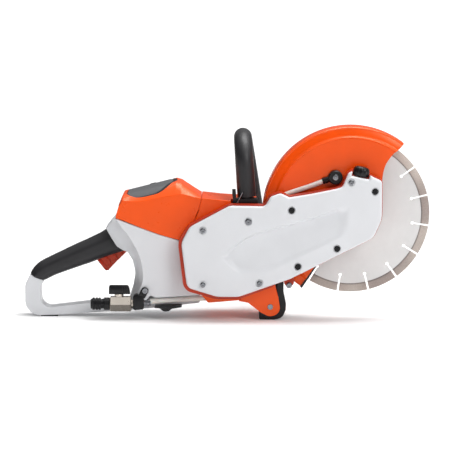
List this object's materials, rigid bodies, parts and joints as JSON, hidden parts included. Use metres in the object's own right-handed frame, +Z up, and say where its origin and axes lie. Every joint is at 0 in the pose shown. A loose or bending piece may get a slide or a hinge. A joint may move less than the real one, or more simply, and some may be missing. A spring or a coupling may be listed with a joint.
{
  "type": "battery cut-off saw",
  "caption": "Hand-held battery cut-off saw with a guarded diamond wheel on a belt-driven side arm, wrap-round front handle, rear D-handle and water feed.",
  "frame": {"origin": "on the floor, below the middle of the saw's box", "axes": "+X forward towards the cutting wheel, +Y to the operator's left, +Z up"},
  "size_m": [0.588, 0.196, 0.28],
  "materials": {
    "white_plastic": "satin light grey moulded plastic",
    "orange_plastic": "glossy orange moulded plastic",
    "orange_metal": "glossy orange powder coat on cast metal",
    "grip_rubber": "soft black rubber with a satin sheen",
    "black_plastic": "satin black plastic",
    "grey_plastic": "fine-textured dark grey plastic",
    "black_steel": "black coated steel",
    "bright_steel": "zinc-plated steel",
    "machined_steel": "turned steel",
    "nickel_brass": "nickel-plated brass",
    "aluminium": "plain aluminium",
    "motor_steel": "laminated motor steel",
    "blade_steel": "bright ground steel",
    "diamond_segment": "sintered grey-brown diamond bond",
    "hose_white": "milky white flexible hose"
  },
  "bodies": {
    "saw_body": {"rear_housing_right": "white_plastic", "rear_housing_left": "white_plastic", "handle_grip": "grip_rubber", "battery_shroud": "orange_plastic", "front_shroud": "orange_plastic", "motor_housing": "orange_plastic", "motor_cover": "white_plastic", "air_filter": "grey_plastic", "drive_housing": "orange_plastic", "belt_cover": "white_plastic", "silver_screws": "bright_steel", "black_screws": "black_steel", "housing_screws": "bright_steel", "drive_belt": "grip_rubber", "motor_stator": "motor_steel", "motor_bearings": "bright_steel", "control_unit": "aluminium", "battery_bay": "black_plastic", "battery_terminal": "black_plastic", "trigger_switch": "black_plastic", "pivot_pins": "bright_steel", "spindle_bearings": "bright_steel", "guard_circlip": "bright_steel", "water_coupling": "black_plastic", "valve_body": "nickel_brass", "valve_clamp": "black_plastic", "hose_fitting": "nickel_brass", "supply_hose": "hose_white", "spray_hose": "hose_white", "hose_clip": "grey_plastic", "front_handle_tube": "black_steel", "front_handle_sleeve": "grip_rubber", "handle_mount": "black_plastic", "handle_pin": "bright_steel", "foot_bracket": "orange_metal", "front_foot": "grip_rubber", "foot_pin": "bright_steel", "rear_foot_pad": "grip_rubber"},
    "guard": {"guard_shell": "orange_metal", "guard_lip": "grip_rubber", "water_elbow": "black_plastic", "elbow_screw": "bright_steel", "spray_nozzle": "nickel_brass"},
    "wheel": {"spindle": "bright_steel", "driven_pulley": "aluminium", "inner_flange": "machined_steel", "blade_core": "blade_steel", "blade_segments": "diamond_segment", "outer_flange": "machined_steel", "blade_screw": "bright_steel"},
    "motor_rotor": {"rotor": "motor_steel", "cooling_fan": "black_plastic", "motor_pulley": "aluminium"},
    "trigger_body": {"trigger": "orange_plastic"},
    "lockout_body": {"lockout_lever": "black_plastic"},
    "battery": {"battery_pack": "grey_plastic"},
    "button_body": {"battery_button": "black_plastic"},
    "valve_handle": {"valve_lever": "black_plastic"},
    "knob_body": {"guard_knob": "black_plastic"}
  },
  "joints": [
    {"name": "wheel_spin", "type": "hinge", "parent": "saw_body", "child": "wheel", "pos_m": [0.179, -0.028, 0.152], "axis": [0, 1, 0], "continuous": true},
    {"name": "motor_spin", "type": "hinge", "parent": "saw_body", "child": "motor_rotor", "pos_m": [0.008, -0.03, 0.088], "axis": [0, 1, 0], "continuous": true},
    {"name": "guard_tilt", "type": "hinge", "parent": "saw_body", "child": "guard", "pos_m": [0.179, -0.028, 0.152], "axis": [0, 1, 0], "range_deg": [-8, 22], "deforming": ["spray_hose"]},
    {"name": "guard_knob_turn", "type": "hinge", "parent": "saw_body", "child": "knob_body", "pos_m": [0.19, -0.082, 0.2095], "axis": [0.2079, 0, 0.9781], "range_deg": [0, 270]},
    {"name": "trigger_pull", "type": "hinge", "parent": "saw_body", "child": "trigger_body", "pos_m": [-0.149, -0.01, 0.098], "axis": [0, 1, 0], "range_deg": [0, 12], "stiffness_Nm_per_rad": 0.6, "springref_deg": -8.59},
    {"name": "lockout_press", "type": "hinge", "parent": "saw_body", "child": "lockout_body", "pos_m": [-0.18, -0.01, 0.119], "axis": [0, -1, 0], "range_deg": [0, 8], "stiffness_Nm_per_rad": 0.3, "springref_deg": -8.59},
    {"name": "battery_lift", "type": "slide", "parent": "saw_body", "child": "battery", "axis": [-0.2419, 0, 0.9703], "range_m": [0, 0.16]},
    {"name": "button_press", "type": "slide", "parent": "battery", "child": "button_body", "axis": [0.2419, 0, -0.9703], "range_m": [0, 0.002], "stiffness_N_per_m": 300, "springref_m": -0.002},
    {"name": "valve_turn", "type": "hinge", "parent": "saw_body", "child": "valve_handle", "pos_m": [-0.157, -0.058, 0.025], "axis": [0, 0, 1], "range_deg": [0, 90]}
  ],
  "couplings": [
    {"joint": "motor_spin", "follows": "wheel_spin", "ratio": 2}
  ]
}
